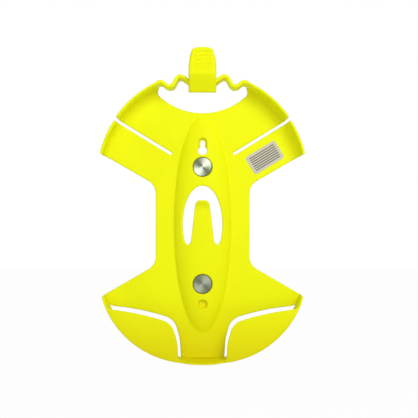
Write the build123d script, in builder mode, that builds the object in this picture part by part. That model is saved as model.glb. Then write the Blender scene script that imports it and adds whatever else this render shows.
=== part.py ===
from build123d import *
import os
from math import asin, atan2, cos, degrees, radians, sin, sqrt

# Magnetic holder for a cap-style hard hat, in millimetres.
# +Z is up and the front faces -Y. Y = 0 is the steel wall, and the origin is the
# centre of the upper magnet where it meets that wall. A depth is the distance from
# the wall, so depth d lies at Y = -d, and Plane.XZ.offset(d) is the plane there.
# A pair of numbers is a half-width and a height unless its comment says otherwise.

# Moulding
backGap = 0.4            # the magnets stand this proud of the moulding's back
skin = 2.8               # moulded wall thickness
plateFront = backGap + skin
rimDepth = 25.0          # front edge of every upright wall
seam = 0.25              # gap where a flexing part meets the rigid moulding
through = 30.0           # depth of a cut that runs right through
spare = 5.0              # allowance past a surface that a trimming body crosses
far = 150.0              # reaches past the outline

# Outline of the plate
topCentre = (0, -11.0)   # centre of the upper arc
topRadius = 106.5
armCorner = (104.3, 13.8)
waistHalf = 48.6
waistTop = -18.3
waistBottom = -100.9
waistFillet = 15.5
peakFloor = -199.8       # lowest point of the rim
rimRadius = 170.8        # flat middle arc of the rim
sideRadius = 93.9        # tighter arcs on each side of it
joinX = 27.0             # half-width where the two arcs meet
cornerTilt = -16.5       # the rim's upper corners, as an angle on the side arcs
windowCentre = (0, 122.7)
windowRadius = 66.3      # lower edge of the crescent window
windowEnd = (46.5, 75.4)
railEnd = 49.0           # half-width where the plate runs out under the rail

# Side arms
slotRoot = (33.0, 14.4)  # blind end of the slot above each arm
slotTilt = 31.4
slotWidth = 2.8
armRoot = 5.5            # flex line of the arm, measured along the slot
armBend = 11.0           # radius of the upturned arm end
armDepth = 22.0
armStrip = (100.0, 50.0) # length and width of the region that an arm is cut from

# Peak pocket
flapRound = 14.0         # outer corner of the peak flaps
slotPath = [(110, -142.0), (66, -146.0), (29.5, -157.0), (23.4, -178), (22.4, -210)]
slotRounds = [250, 17, 60]
flapShift = (2.3, -0.4)  # the flaps' free edges stand off the plate's edge by this much
middleHalf = 25.7        # half-width of the rim's square-topped middle

# Central boss
bossCentre = -59.0
bossHalf = (29.5, 17.0, 111.0)    # half-width, height, half-length
bossSkin = 2.6
bossLap = 3.2            # the plate runs this far in under the boss
archCentre = -58.7
archHalf = (20.6, 39.5)
archFoot = -79.4         # lower ends of the arch slot
hookTip = -35.8
hookTipHalf = 7.2
hookRootHalf = 12.4
hookLift = 22.0          # depth reached by the curled tip
hookSkin = 2.6
hookFront = 16.6         # front face of the straight part
hookRounds = 5.5
curlLength = 9.0
curlEnd = (1.2, 2.0)     # depth and height of the curled tip's end face

# Keyhole and lower screw pocket
keyEntry = 16.8
keyEntryRadius = 4.75
keyTop = 25.4
keySlotRadius = 2.25
keyHeadRadius = 4.5
keyFloor = 7.4           # depth of the floor that the screw head bears on
dimpleZ = -140.9
dimpleRadius = 4.9
dimpleFloor = 7.6
blockBack = 5.0          # back of the blocks that carry the screw pockets

# Latch and wave springs
latchHalf = 14.0
latchTop = 119.5
latchTaper = [(14.0, 90.5), (13.0, 104.0), (10.2, 118.0), (0, 120.2)]
latchRounds = [20, 3, 35, 3, 20]
tabFront = 27.5          # depth of the thumb tab's upper end
tabBow = 1.6             # the tab's front stands this far out between crest and top
tabEnd = (0.8, 3.0)      # depth and height of the bevel along its upper edge
tabFoot = 8.0            # height of the tab's back face above the shelf
shelfLap = 2.5           # the tab's back slopes down to this far behind the hook's back
crest = (36.0, 91.7)     # depth and height of the latch's foremost line
hookEdge = (24.5, 74.2)  # depth and height of the hook's lower edge
hookBack = 21.5          # the hat's brim passes behind the hook, below this depth
shelfTop = 87.5
shelfBack = 4.5
panelHalf = 8.8          # ribbed thumb panel
panelBottom = 94.0
panelHeight = 22.0
panelDepth = 0.9
ribCount = 5
ribPitch = 4.05
ribRise = 0.5            # height of the first rib's centre, in rib pitches
springFront = 25.0
springBack = 4.5
springWidth = 3.5
waveRadius = 5.0
railStart = 40.3         # half-width where the wall rail ends and the spring starts
wavePath = [(42.0, 86.0), (31.6, 77.6), (23.7, 93.2), (12.5, 84.6)]

# Magnet assemblies
magnetSpots = {"upper": 0.0, "lower": -119.6}
headRadius = 9.8
headThick = 2.0
headFront = 13.2
cupRadius = 8.0
cupBore = 6.5
cupBoreDepth = 7.0
coreRadius = 5.5
coreRecess = 0.2         # the magnet sits this far inside the cup's rim
ringRadius = 10.5
ringThick = 0.8
socketRadius = 12.5
webBack = 8.2
webFront = 11.2
cupGap = 0.05            # radial clearance of a cup in its web
headGap = 0.4            # and of its head in the socket
ringGap = 0.8            # and of its retaining ring
coreGap = 0.03           # clearance between the parts inside a cup
rimBevel = 0.5

# Name label
labelSize = (35.7, 20.9)
labelSpot = (64.3, 10.3)
labelThick = 0.2
labelRound = 2.5

face = Plane.XZ
os.makedirs("parts", exist_ok=True)


def save(holder, name):
    holder.part.label = name
    export_step(holder.part, f"parts/{name}.step")


# Flex line of an arm: starts on the slot's centre line and crosses the arm squarely.
armLine = (
    slotRoot[0] + armRoot * cos(radians(slotTilt)),
    slotRoot[1] + armRoot * sin(radians(slotTilt)),
)

# The rim's two arcs share a tangent where they meet.
joinTilt = asin(joinX / rimRadius)
rimCentre = (0, peakFloor + rimRadius)
sideCentre = (
    (rimRadius - sideRadius) * sin(joinTilt),
    rimCentre[1] - (rimRadius - sideRadius) * cos(joinTilt),
)


def onArc(centre, radius, angle):
    turn = radians(angle)
    return (centre[0] + radius * cos(turn), centre[1] + radius * sin(turn))


peakCorner = onArc(sideCentre, sideRadius, cornerTilt)


def rimLine(inset):
    side = sideRadius - inset
    middle = rimRadius - inset
    joinAngle = degrees(joinTilt) - 90
    ThreePointArc(
        onArc(sideCentre, side, cornerTilt),
        onArc(sideCentre, side, (cornerTilt + joinAngle) / 2),
        onArc(sideCentre, side, joinAngle),
    )
    ThreePointArc(
        onArc(rimCentre, middle, joinAngle),
        onArc(rimCentre, middle, joinAngle / 2 - 45),
        onArc(rimCentre, middle, -90),
    )


# Plan outline of the whole moulding below the window, one half then its mirror image.
with BuildSketch(face) as outline:
    with BuildLine() as halfOutline:
        windowTurn = degrees(asin(windowEnd[0] / windowRadius))
        ThreePointArc(
            (0, windowCentre[1] - windowRadius),
            onArc(windowCentre, windowRadius, windowTurn / 2 - 90),
            windowEnd,
        )
        railTop = (railEnd, topCentre[1] + sqrt(topRadius**2 - railEnd**2))
        Line(windowEnd, railTop)
        railTurn = degrees(asin((railTop[1] - topCentre[1]) / topRadius))
        armTurn = degrees(atan2(armCorner[1] - topCentre[1], armCorner[0]))
        topMiddle = onArc(topCentre, topRadius, (railTurn + armTurn) / 2)
        ThreePointArc(railTop, topMiddle, armCorner)
        FilletPolyline(
            armCorner,
            (waistHalf, waistTop),
            (waistHalf, waistBottom),
            peakCorner,
            radius=waistFillet,
        )
        rimLine(0)
        mirror(about=Plane.YZ)
    make_face()

# Everything below and outside the plate's curved peak slot.
def pocketOutline(shift):
    with BuildSketch(face) as region:
        for side in (1, -1):
            path = [(side * (x + shift[0]), z + shift[1]) for x, z in slotPath]
            with BuildLine():
                bend = FilletPolyline(*path, radius=slotRounds)
                Polyline(bend @ 1, (side * far, path[-1][1]), bend @ 0)
            make_face()
    return region


underFlap = pocketOutline((0, 0))
flapOutline = pocketOutline(flapShift)

# Back plate: the outline without the arms, their slots and the peak pockets.
with BuildPart() as backPlate:
    with BuildSketch(face.offset(backGap)):
        add(outline.sketch)
        add(underFlap.sketch, mode=Mode.SUBTRACT)
        for side in (1, -1):
            turn = slotTilt if side == 1 else 180 - slotTilt
            flip = Align.MAX if side == 1 else Align.MIN
            with Locations(Location((side * slotRoot[0], slotRoot[1], 0), turn)):
                Rectangle(
                    far, slotWidth, align=(Align.MIN, Align.CENTER), mode=Mode.SUBTRACT
                )
                Circle(slotWidth / 2, mode=Mode.SUBTRACT)
            with Locations(Location((side * armLine[0], armLine[1], 0), turn)):
                Rectangle(*armStrip, align=(Align.MIN, flip), mode=Mode.SUBTRACT)
        with Locations((0, bossCentre)):
            Ellipse(bossHalf[0] - bossLap, bossHalf[2] - bossLap, mode=Mode.SUBTRACT)
    extrude(amount=skin)
save(backPlate, "back_plate")

# Wall rails: upright strips on the plate's upper arc, from the spring to the arm slot.
for side, railName in ((-1, "left_wing_rail"), (1, "right_wing_rail")):
    with BuildPart() as rail:
        with BuildSketch(face.offset(plateFront)):
            with Locations(topCentre):
                Circle(topRadius)
                Circle(topRadius - skin, mode=Mode.SUBTRACT)
            with Locations((side * railStart, topCentre[1])):
                keep = Align.MIN if side == 1 else Align.MAX
                Rectangle(far, far, align=(keep, Align.MIN), mode=Mode.INTERSECT)
            turn = slotTilt if side == 1 else 180 - slotTilt
            flip = Align.MAX if side == 1 else Align.MIN
            with Locations(Location((side * slotRoot[0], slotRoot[1], 0), turn)):
                Rectangle(
                    far, slotWidth, align=(Align.MIN, Align.CENTER), mode=Mode.SUBTRACT
                )
                Rectangle(far, far, align=(Align.MIN, flip), mode=Mode.SUBTRACT)
        extrude(amount=rimDepth - plateFront)
    save(rail, railName)

# Side arms: flat strips whose outer ends roll up towards the front along the upper arc.
bendStart = topRadius - armBend
for side, armName in ((-1, "left_side_arm"), (1, "right_side_arm")):
    with BuildPart() as arm:
        # Radial section of the strip and its rolled end, turned about the arc's centre.
        with BuildSketch(Plane.XY.offset(topCentre[1])):
            with BuildLine():
                inner = armBend - skin
                Polyline((0, -backGap), (0, -plateFront), (bendStart, -plateFront))
                TangentArc(
                    (bendStart, -plateFront),
                    (bendStart + inner, -plateFront - inner),
                    tangent=(1, 0),
                )
                Polyline(
                    (bendStart + inner, -plateFront - inner),
                    (bendStart + inner, -armDepth),
                    (topRadius, -armDepth),
                    (topRadius, -backGap - armBend),
                )
                TangentArc(
                    (bendStart, -backGap),
                    (topRadius, -backGap - armBend),
                    tangent=(1, 0),
                )
                Line((bendStart, -backGap), (0, -backGap))
            make_face()
        revolve(axis=Axis((0, 0, topCentre[1]), (0, 1, 0)), revolution_arc=360)
        # Strip between the arm slot and the hourglass edge, outside the flex line.
        with BuildSketch(face):
            turn = slotTilt if side == 1 else 180 - slotTilt
            flip = Align.MAX if side == 1 else Align.MIN
            with Locations(Location((side * armLine[0], armLine[1], 0), turn)):
                with Locations((seam, -side * slotWidth / 2)):
                    Rectangle(*armStrip, align=(Align.MIN, flip))
            with BuildLine():
                slope = (waistTop - armCorner[1]) / (waistHalf - armCorner[0])
                Polyline(
                    (0, waistTop - slope * waistHalf),
                    (side * far, waistTop + slope * (far - waistHalf)),
                    (side * far, far),
                    (0, far),
                    close=True,
                )
            make_face(mode=Mode.INTERSECT)
        extrude(amount=armDepth + spare, mode=Mode.INTERSECT)
    save(arm, armName)

# Central boss: a long hollow dome that stands on the plate.
def domeOf(half):
    with BuildPart(mode=Mode.PRIVATE) as dome:
        Sphere(1)
        scale(by=(half[0], half[1], half[2]))
    return Pos(0, 0, bossCentre) * dome.part


innerHalf = tuple(size - bossSkin for size in bossHalf)
outerDome = domeOf(bossHalf)
innerDome = domeOf(innerHalf)

with BuildSketch(face) as archRegion:
    with Locations((0, archCentre)):
        Ellipse(*archHalf)
    with Locations((0, archFoot)):
        Rectangle(far, far, align=(Align.CENTER, Align.MIN), mode=Mode.INTERSECT)

with BuildPart() as boss:
    with BuildSketch(face.offset(plateFront)):
        with Locations((0, bossCentre)):
            Ellipse(bossHalf[0] + spare, bossHalf[2] + spare)
    extrude(amount=bossHalf[1] + spare)
    add(outerDome, mode=Mode.INTERSECT)
    add(innerDome, mode=Mode.SUBTRACT)
    # Magnet sockets hang from the crest
    with BuildSketch(face.offset(webBack)):
        with Locations(*[(0, z) for z in magnetSpots.values()]):
            Circle(socketRadius)
    extrude(amount=through)
    # Blocks that carry the screw pockets
    with BuildSketch(face.offset(blockBack)):
        with Locations((0, (keyEntry + keyTop) / 2)):
            SlotCenterToCenter(keyTop - keyEntry, 2 * (keyHeadRadius + skin), rotation=90)
        with Locations((0, dimpleZ)):
            Circle(dimpleRadius + skin)
        Circle(ringRadius + ringGap, mode=Mode.SUBTRACT)
    extrude(amount=through)
    add(outerDome, mode=Mode.INTERSECT)
    with BuildSketch(face):
        add(archRegion.sketch)
    extrude(amount=through, mode=Mode.SUBTRACT)
    with BuildSketch(face):
        with Locations(*[(0, z) for z in magnetSpots.values()]):
            Circle(cupRadius + cupGap)
    extrude(amount=through, mode=Mode.SUBTRACT)
    with BuildSketch(face.offset(webFront)):
        with Locations(*[(0, z) for z in magnetSpots.values()]):
            Circle(headRadius + headGap)
    extrude(amount=through, mode=Mode.SUBTRACT)
    # Keyhole: entry hole, slot for the screw's shank and a pocket for its head
    with BuildSketch(face):
        with Locations((0, keyEntry)):
            Circle(keyEntryRadius)
        with Locations((0, (keyEntry + keyTop) / 2)):
            SlotCenterToCenter(keyTop - keyEntry, 2 * keySlotRadius, rotation=90)
    extrude(amount=through, mode=Mode.SUBTRACT)
    with BuildSketch(face.offset(keyFloor)):
        with Locations((0, (keyEntry + keyTop) / 2)):
            SlotCenterToCenter(keyTop - keyEntry, 2 * keyHeadRadius, rotation=90)
    extrude(amount=through, mode=Mode.SUBTRACT)
    # Blind pocket for an optional lower screw
    with BuildSketch(face.offset(dimpleFloor)):
        with Locations((0, dimpleZ)):
            Circle(dimpleRadius)
    extrude(amount=through, mode=Mode.SUBTRACT)
save(boss, "magnet_boss")

# Accessory hook: a springy tongue in the arch, with its free tip curled to the front.
with BuildPart() as hook:
    with BuildSketch(Plane.YZ):
        with BuildLine():
            hookRoot = archFoot + 2 * seam
            curlStart = hookTip - curlLength
            back = hookSkin - hookFront
            tip = (curlEnd[0] - hookLift, hookTip + curlEnd[1])
            Polyline(
                (back, curlStart),
                (back, hookRoot),
                (-hookFront, hookRoot),
                (-hookFront, curlStart),
            )
            TangentArc((-hookFront, curlStart), (-hookLift, hookTip), tangent=(0, 1))
            Line((-hookLift, hookTip), tip)
            TangentArc((back, curlStart), tip, tangent=(0, 1))
        make_face()
    extrude(amount=hookRootHalf + spare, both=True)
    with BuildSketch(face):
        with BuildLine():
            FilletPolyline(
                (-hookRootHalf, hookRoot),
                (-hookTipHalf, hookTip + seam),
                (hookTipHalf, hookTip + seam),
                (hookRootHalf, hookRoot),
                radius=hookRounds,
            )
            Line((hookRootHalf, hookRoot), (-hookRootHalf, hookRoot))
        make_face()
    extrude(amount=hookLift + spare, mode=Mode.INTERSECT)
save(hook, "accessory_hook")

# Peak pocket: the upright lower rim and the two flaps that the hat's peak slides under.
def panPlan(inset):
    with BuildSketch(face) as plan:
        with BuildLine():
            rimLine(inset)
            corner = onArc(sideCentre, sideRadius - inset, cornerTilt)
            Polyline(corner, (corner[0], cornerTop + through), (0, cornerTop + through))
            mirror(about=Plane.YZ)
        make_face()
    return plan


def panBody(inset, front):
    with BuildPart(mode=Mode.PRIVATE) as pan:
        with BuildSketch(face.offset(backGap - inset)):
            add(panPlan(inset).sketch)
        extrude(amount=front - backGap + inset)
        rolled = pan.faces().sort_by(Axis.Y)[0].edges().filter_by(GeomType.CIRCLE)
        fillet(rolled, radius=flapRound - inset)
    return pan.part


cornerTop = peakCorner[1]
outerPan = panBody(0, rimDepth)
innerPan = panBody(skin, rimDepth - skin)
with BuildPart() as pocket:
    add(outerPan)
    add(innerPan, mode=Mode.SUBTRACT)
    # Open the roof between the flaps
    with BuildSketch(face):
        add(panPlan(skin).sketch)
        add(flapOutline.sketch, mode=Mode.SUBTRACT)
    extrude(amount=rimDepth + spare, mode=Mode.SUBTRACT)
    # Square-topped middle of the rim
    with BuildSketch(face.offset(backGap)):
        add(panPlan(0).sketch)
        add(panPlan(skin).sketch, mode=Mode.SUBTRACT)
        with Locations((0, peakFloor)):
            Rectangle(2 * middleHalf, far, mode=Mode.INTERSECT)
    extrude(amount=rimDepth - backGap)
    add(backPlate.part, mode=Mode.SUBTRACT)
    # The rim stops level with its corners
    with BuildSketch(face):
        with Locations((0, cornerTop)):
            Rectangle(2 * far, far, align=(Align.CENTER, Align.MAX))
    extrude(amount=rimDepth + spare, mode=Mode.INTERSECT)
save(pocket, "peak_pocket")

# Thumb latch: finger tab, crest, ramp and hook, with a shelf that the wave springs carry.
with BuildPart() as latch:
    with BuildSketch(Plane.YZ):
        with BuildLine():
            Polyline(
                (-shelfBack, shelfTop),
                (-shelfBack, shelfTop - springWidth),
                (-hookBack, shelfTop - springWidth),
                (-hookBack, hookEdge[1]),
                (-hookEdge[0], hookEdge[1]),
                (-crest[0], crest[1]),
            )
            ThreePointArc(
                (-crest[0], crest[1]),
                (-tabFront - tabBow, (crest[1] + latchTop) / 2),
                (-tabFront, latchTop - tabEnd[1]),
            )
            Polyline(
                (-tabFront, latchTop - tabEnd[1]),
                (-tabFront + tabEnd[0], latchTop),
                (-tabFront + skin, latchTop),
                (-tabFront + skin, shelfTop + tabFoot),
                (-hookBack + shelfLap, shelfTop),
                (-shelfBack, shelfTop),
            )
        make_face()
    extrude(amount=latchHalf, both=True)
    with BuildSketch(face):
        with BuildLine():
            FilletPolyline(
                *latchTaper,
                *[(-x, z) for x, z in reversed(latchTaper[:-1])],
                radius=latchRounds,
            )
            Polyline(
                (-latchHalf, latchTaper[0][1]),
                (-latchHalf, hookEdge[1]),
                (latchHalf, hookEdge[1]),
                (latchHalf, latchTaper[0][1]),
            )
        make_face()
    extrude(amount=crest[0] + spare, mode=Mode.INTERSECT)
    # Recessed thumb panel with raised ribs across it
    with BuildSketch(face.offset(tabFront - panelDepth)):
        with Locations((0, panelBottom)):
            Rectangle(2 * panelHalf, panelHeight, align=(Align.CENTER, Align.MIN))
        for row in range(ribCount):
            with Locations((0, panelBottom + ribPitch * (row + ribRise))):
                Rectangle(2 * panelHalf, ribPitch / 2, mode=Mode.SUBTRACT)
    extrude(amount=through, mode=Mode.SUBTRACT)
save(latch, "thumb_latch")

# Wave springs: upright zigzag strips that carry the latch between the two rails.
for side, springName in ((-1, "left_wave_spring"), (1, "right_wave_spring")):
    with BuildPart() as spring:
        with BuildSketch(face.offset(springBack)):
            with BuildLine() as wave:
                FilletPolyline(
                    *[(side * x, z) for x, z in wavePath], radius=waveRadius
                )
            trace(wave.line, springWidth)
            with Locations((side * (latchHalf + railStart) / 2, shelfTop)):
                Rectangle(
                    railStart - latchHalf - 2 * seam, far, mode=Mode.INTERSECT
                )
        extrude(amount=springFront - springBack)
    save(spring, springName)

# Magnet assemblies: headed steel cup, magnet, spacer ring and push-on retaining ring.
for place, z in magnetSpots.items():
    with BuildPart() as cup:
        with BuildSketch(face):
            with Locations((0, z)):
                Circle(cupRadius)
        extrude(amount=headFront)
        with BuildSketch(face.offset(headFront - headThick)):
            with Locations((0, z)):
                Circle(headRadius)
        extrude(amount=headThick)
        with BuildSketch(face):
            with Locations((0, z)):
                Circle(cupBore)
        extrude(amount=cupBoreDepth, mode=Mode.SUBTRACT)
        rims = cup.edges().filter_by(GeomType.CIRCLE).group_by(Axis.Y)[0]
        chamfer(rims, length=rimBevel)
    save(cup, f"{place}_magnet_cup")

    with BuildPart() as core:
        with BuildSketch(face.offset(coreRecess)):
            with Locations((0, z)):
                Circle(coreRadius)
        extrude(amount=cupBoreDepth - coreRecess)
    save(core, f"{place}_magnet")

    with BuildPart() as spacer:
        with BuildSketch(face.offset(coreRecess)):
            with Locations((0, z)):
                Circle(cupBore - coreGap)
                Circle(coreRadius + coreGap, mode=Mode.SUBTRACT)
        extrude(amount=cupBoreDepth - coreRecess)
    save(spacer, f"{place}_magnet_spacer")

    with BuildPart() as ring:
        with BuildSketch(face.offset(webBack - ringThick)):
            with Locations((0, z)):
                Circle(ringRadius)
                Circle(cupRadius + coreGap, mode=Mode.SUBTRACT)
        extrude(amount=ringThick)
    save(ring, f"{place}_retaining_ring")

# Blank write-on label on the right arm.
with BuildPart() as label:
    with BuildSketch(face.offset(plateFront)):
        with Locations(Location((labelSpot[0], labelSpot[1], 0), slotTilt)):
            RectangleRounded(*labelSize, labelRound)
    extrude(amount=labelThick)
save(label, "name_label")
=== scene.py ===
from math import acos, asin, atan, atan2, cos, degrees, hypot, pi, radians, sin, tan

import bmesh
import bpy
import numpy as np
from mathutils.geometry import delaunay_2d_cdt
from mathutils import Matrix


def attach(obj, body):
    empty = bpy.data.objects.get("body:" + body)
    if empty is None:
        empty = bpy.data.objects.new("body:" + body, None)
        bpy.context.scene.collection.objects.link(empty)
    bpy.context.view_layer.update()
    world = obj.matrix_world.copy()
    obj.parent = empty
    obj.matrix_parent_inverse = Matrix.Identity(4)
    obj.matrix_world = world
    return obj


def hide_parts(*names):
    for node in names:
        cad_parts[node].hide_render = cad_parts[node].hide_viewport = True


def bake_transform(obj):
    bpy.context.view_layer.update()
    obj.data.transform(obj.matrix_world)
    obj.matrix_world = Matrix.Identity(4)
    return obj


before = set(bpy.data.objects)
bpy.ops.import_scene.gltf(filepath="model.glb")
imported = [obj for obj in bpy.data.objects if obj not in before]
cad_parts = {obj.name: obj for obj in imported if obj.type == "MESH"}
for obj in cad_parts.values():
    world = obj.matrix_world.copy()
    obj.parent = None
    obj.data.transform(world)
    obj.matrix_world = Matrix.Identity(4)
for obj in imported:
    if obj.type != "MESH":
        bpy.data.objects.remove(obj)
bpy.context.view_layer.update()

# Shapes are worked out in millimetres. A plan point is (x, z) seen from the front and a
# depth is the distance in front of the wall, so it lands at (x, -depth, z).
millimetre = 0.001
step = 1.2  # longest side left on an outline
closest = 0.02  # outline points nearer together than this count as one
noPoints = np.zeros((0, 2))
mirrorX = np.array([-1, 1])


# Centre plus radius times (cos, sin) of evenly spaced angles, given in degrees.
def arc(centre, radius, start, stop):
    count = max(3, int(abs(radians(stop - start)) * radius / step) + 2)
    angle = np.radians(np.linspace(start, stop, count))
    return np.array(centre) + radius * np.stack([np.cos(angle), np.sin(angle)], axis=1)


# A whole turn of an arc, without its repeated last point.
def circle(centre, radius):
    return arc(centre, radius, 0, 360)[:-1]


# Straight runs joined by arcs, which touch the runs at the radius over the tangent of half
# the corner's angle from each inner corner.
def softPath(corners, radii):
    corners = np.array(corners, float)
    runs = [corners[:1]]
    for here, last, ahead, radius in zip(corners[1:-1], corners[:-2], corners[2:], radii):
        back = (last - here) / hypot(*(last - here))
        onward = (ahead - here) / hypot(*(ahead - here))
        half = 0.5 * acos(float(np.clip(back @ onward, -1, 1)))
        middle = (back + onward) / hypot(*(back + onward))
        centre = here + middle * radius / sin(half)
        first = here + back * radius / tan(half) - centre
        final = here + onward * radius / tan(half) - centre
        begin = atan2(first[1], first[0])
        sweep = (atan2(final[1], final[0]) - begin + pi) % (2 * pi) - pi
        runs.append(arc(centre, radius, degrees(begin), degrees(begin + sweep)))
    return np.vstack(runs + [corners[-1:]])


# How far along its path each point is: the sum of the sides before it.
def alongPath(path):
    return np.concatenate([[0], np.cumsum(np.hypot(*np.diff(path, axis=0).T))])


# A path read off at given distances, in proportion between its points.
def readAt(path, distance):
    known = alongPath(path)
    return np.stack([np.interp(distance, known, path[:, i]) for i in (0, 1)], axis=1)


# A loop with points added along its sides, anticlockwise or, for a hole, clockwise.
def divided(loop, hole=False):
    loop = loop[np.hypot(*(loop - np.roll(loop, 1, axis=0)).T) > closest]
    ahead = np.roll(loop, -1, axis=0)
    area = np.sum(loop[:, 0] * ahead[:, 1] - ahead[:, 0] * loop[:, 1])
    if (area < 0) != hole:
        return divided(loop[::-1], hole)
    count = np.maximum(1, np.ceil(np.hypot(*(ahead - loop).T) / step)).astype(int)
    index = np.repeat(np.arange(len(loop)), count)
    first = np.repeat(np.cumsum(count) - count, count)
    part = (np.arange(count.sum()) - first) / count[index]
    return loop[index] + (ahead - loop)[index] * part[:, None]


# A right half joined to its mirror image.
def bothSides(half):
    return np.vstack([half, (half * mirrorX)[::-1]])


# Directions a quarter turn from the given ones, as unit vectors: (x, z) becomes (z, -x).
def squareTo(run):
    return np.stack([run[:, 1], -run[:, 0]], axis=1) / np.linalg.norm(run, axis=1)[:, None]


# A loop's outward directions, square to the run from the point before to the point after.
def outwardOf(loop):
    return squareTo(np.roll(loop, -1, axis=0) - np.roll(loop, 1, axis=0))


# Unit vector square to a surface: the cross product of two small steps on it.
def faceNormal(front, plan):
    small = 0.02
    across = front(plan + (small, 0)) - front(plan - (small, 0))
    upward = front(plan + (0, small)) - front(plan - (0, small))
    normal = np.cross(across, upward)
    return normal / np.linalg.norm(normal, axis=1)[:, None]


# A plan at its depths: (x, -depth, z).
def placed(plan, depth):
    return np.stack([plan[:, 0], np.broadcast_to(-depth, len(plan)), plan[:, 1]], axis=1)


# A surface of one depth everywhere.
def flatFront(depth):
    return lambda plan: placed(plan, depth)


# A soft step from 0 at low to 1 at high: three squares less two cubes.
def stepUp(value, low, high):
    part = np.clip((value - low) / (high - low), 0, 1)
    return part * part * (3 - 2 * part)


# Every pairing of the given values.
def everyPair(first, second):
    return np.stack([part.ravel() for part in np.meshgrid(first, second)], axis=1)


# Four-sided faces between the rows of a grid, each of which closes on itself. In a closed
# grid the last row joins the first.
def gridFaces(rows, columns, closed=False):
    k, j = np.meshgrid(np.arange(rows if closed else rows - 1), np.arange(columns), indexing="ij")
    k2, j2 = (k + 1) % rows, (j + 1) % columns
    corners = [k * columns + j, k2 * columns + j, k2 * columns + j2, k * columns + j2]
    return np.stack(corners, axis=-1).reshape(-1, 4)


# Which points are inside the outer loop, outside the holes and clear of them all. From inside
# a loop, a line towards +x crosses it an odd number of times.
def insideLoops(points, loops, clear):
    keep = np.ones(len(points), bool)
    for number, loop in enumerate(loops):
        ahead = np.roll(loop, -1, axis=0)
        x, z = points[:, :1], points[:, 1:]
        crossed = (loop[:, 1] > z) != (ahead[:, 1] > z)
        run = np.where(ahead[:, 1] == loop[:, 1], 1, ahead[:, 1] - loop[:, 1])
        meet = loop[:, 0] + (z - loop[:, 1]) * (ahead[:, 0] - loop[:, 0]) / run
        odd = np.sum(crossed & (x < meet), axis=1) % 2 == 1
        near = np.min((x - loop[:, 0]) ** 2 + (z - loop[:, 1]) ** 2, axis=1) < clear**2
        keep &= (odd if number == 0 else ~odd) & ~near
    return keep


roundedEdge = {
    "turns": (0, 0, 30, 60, 90),  # degrees turned at each row, from the face to the side
    "inset": (0.5, 0, 0, 0, 0),  # how much further in each row lies
    "seamReach": 0.25,  # points this near to a seam keep a square edge
    "clearance": 0.75,  # inner points of a face keep this far from its edges
}


# A moulded wall of even thickness: a front surface over a flat outline, a back one square
# behind it, and edges of two quarter rounds, whose rows lie in by the radius times one minus
# the turn's sine and are sunk by the radius times one minus its cosine.
def mouldedWall(loops, front, thickness, inner, rounding=0.9, seams=(), back=None):
    loops = [divided(loop, number > 0) for number, loop in enumerate(loops)]
    verts, faces, edgeLoops, total = [], [], [], 0
    turns, inset = np.radians(roundedEdge["turns"]), roundedEdge["inset"]
    for loop in loops:
        outward = outwardOf(loop)
        radius = np.full(len(loop), float(rounding))
        for start, stop in np.array(seams, float).reshape(-1, 2, 2):
            run = stop - start
            along = np.clip((loop - start) @ run / (run @ run), 0, 1)
            away = np.linalg.norm(loop - start - along[:, None] * run, axis=1)
            radius[away < roundedEdge["seamReach"]] = 0
        order = range(len(turns))
        for side in (0, 1):
            for k in order[:: 1 - 2 * side]:  # out along the front, and back behind it
                shift = -radius * (1 - sin(turns[k])) - inset[k]
                sink = radius * (1 - cos(turns[k]))
                plan = loop + outward * shift[:, None]
                if side and back:
                    verts.append(back(plan) + sink[:, None] * (0, -1, 0))
                else:
                    sink = thickness - sink if side else sink
                    verts.append(front(plan) - sink[:, None] * faceNormal(front, plan))
                if (side, k) == (0, 0):
                    edgeLoops.append(plan)
        faces += (gridFaces(2 * len(turns), len(loop)) + total).tolist()
        total += 2 * len(turns) * len(loop)
    inner = inner[insideLoops(inner, edgeLoops, roundedEdge["clearance"])]
    border = []
    for plan in edgeLoops:
        place = np.arange(len(plan)) + len(border)
        border += np.stack([place, np.roll(place, -1)], axis=1).tolist()
    points = np.vstack(edgeLoops + [inner]).tolist()
    filled = delaunay_2d_cdt(points, border, [], 2, 1e-5)
    plan = np.array([tuple(v) for v in filled[0]])
    triangles = np.array(filled[2])
    middle = plan[triangles].mean(axis=1)
    triangles = triangles[insideLoops(middle, edgeLoops, 0)]
    a, b, c = (plan[triangles[:, i]] for i in range(3))
    turned = (b - a)[:, 0] * (c - a)[:, 1] - (b - a)[:, 1] * (c - a)[:, 0] < 0
    triangles[turned] = triangles[turned][:, ::-1]
    verts.append(front(plan))
    faces += (triangles + total).tolist()
    total += len(plan)
    verts.append(back(plan) if back else front(plan) - thickness * faceNormal(front, plan))
    faces += (triangles[:, ::-1] + total).tolist()
    return np.vstack(verts), faces


# A closed section of (outward offset, depth) pairs carried round a closed plan loop.
def ringWall(loop, section):
    loop = divided(loop)
    outward = outwardOf(loop)
    rows = []
    for offset, depth in section:
        plan = loop + outward * offset
        rows.append(placed(plan, depth(plan) if callable(depth) else depth))
    return np.vstack(rows), gridFaces(len(section), len(loop), True).tolist()


# A section of (radius, depth) pairs turned about a line square to the wall.
def turnedPart(section, centre, sides=96):
    section = np.array(section, float)
    angle = np.linspace(0, 2 * pi, sides, endpoint=False)
    x = centre[0] + section[:, :1] * np.cos(angle)
    z = centre[1] + section[:, :1] * np.sin(angle)
    depth = np.repeat(section[:, 1:], sides, axis=1)
    verts = np.stack([x, -depth, z], axis=-1).reshape(-1, 3)
    return verts, gridFaces(len(section), sides).tolist()


# Flips a closed shell whose signed volume is negative, so its faces point outwards: the sum of
# a . (b x c) over the triangles that fan out from each face's first corner.
def outwardFaces(shell):
    verts, faces = shell
    fans = [(face[0], face[i], face[i + 1]) for face in faces for i in range(1, len(face) - 1)]
    a, b, c = (verts[corner] for corner in np.array(fans).T)
    return (verts, faces) if np.sum(a * np.cross(b, c)) > 0 else (verts, [f[::-1] for f in faces])


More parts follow.
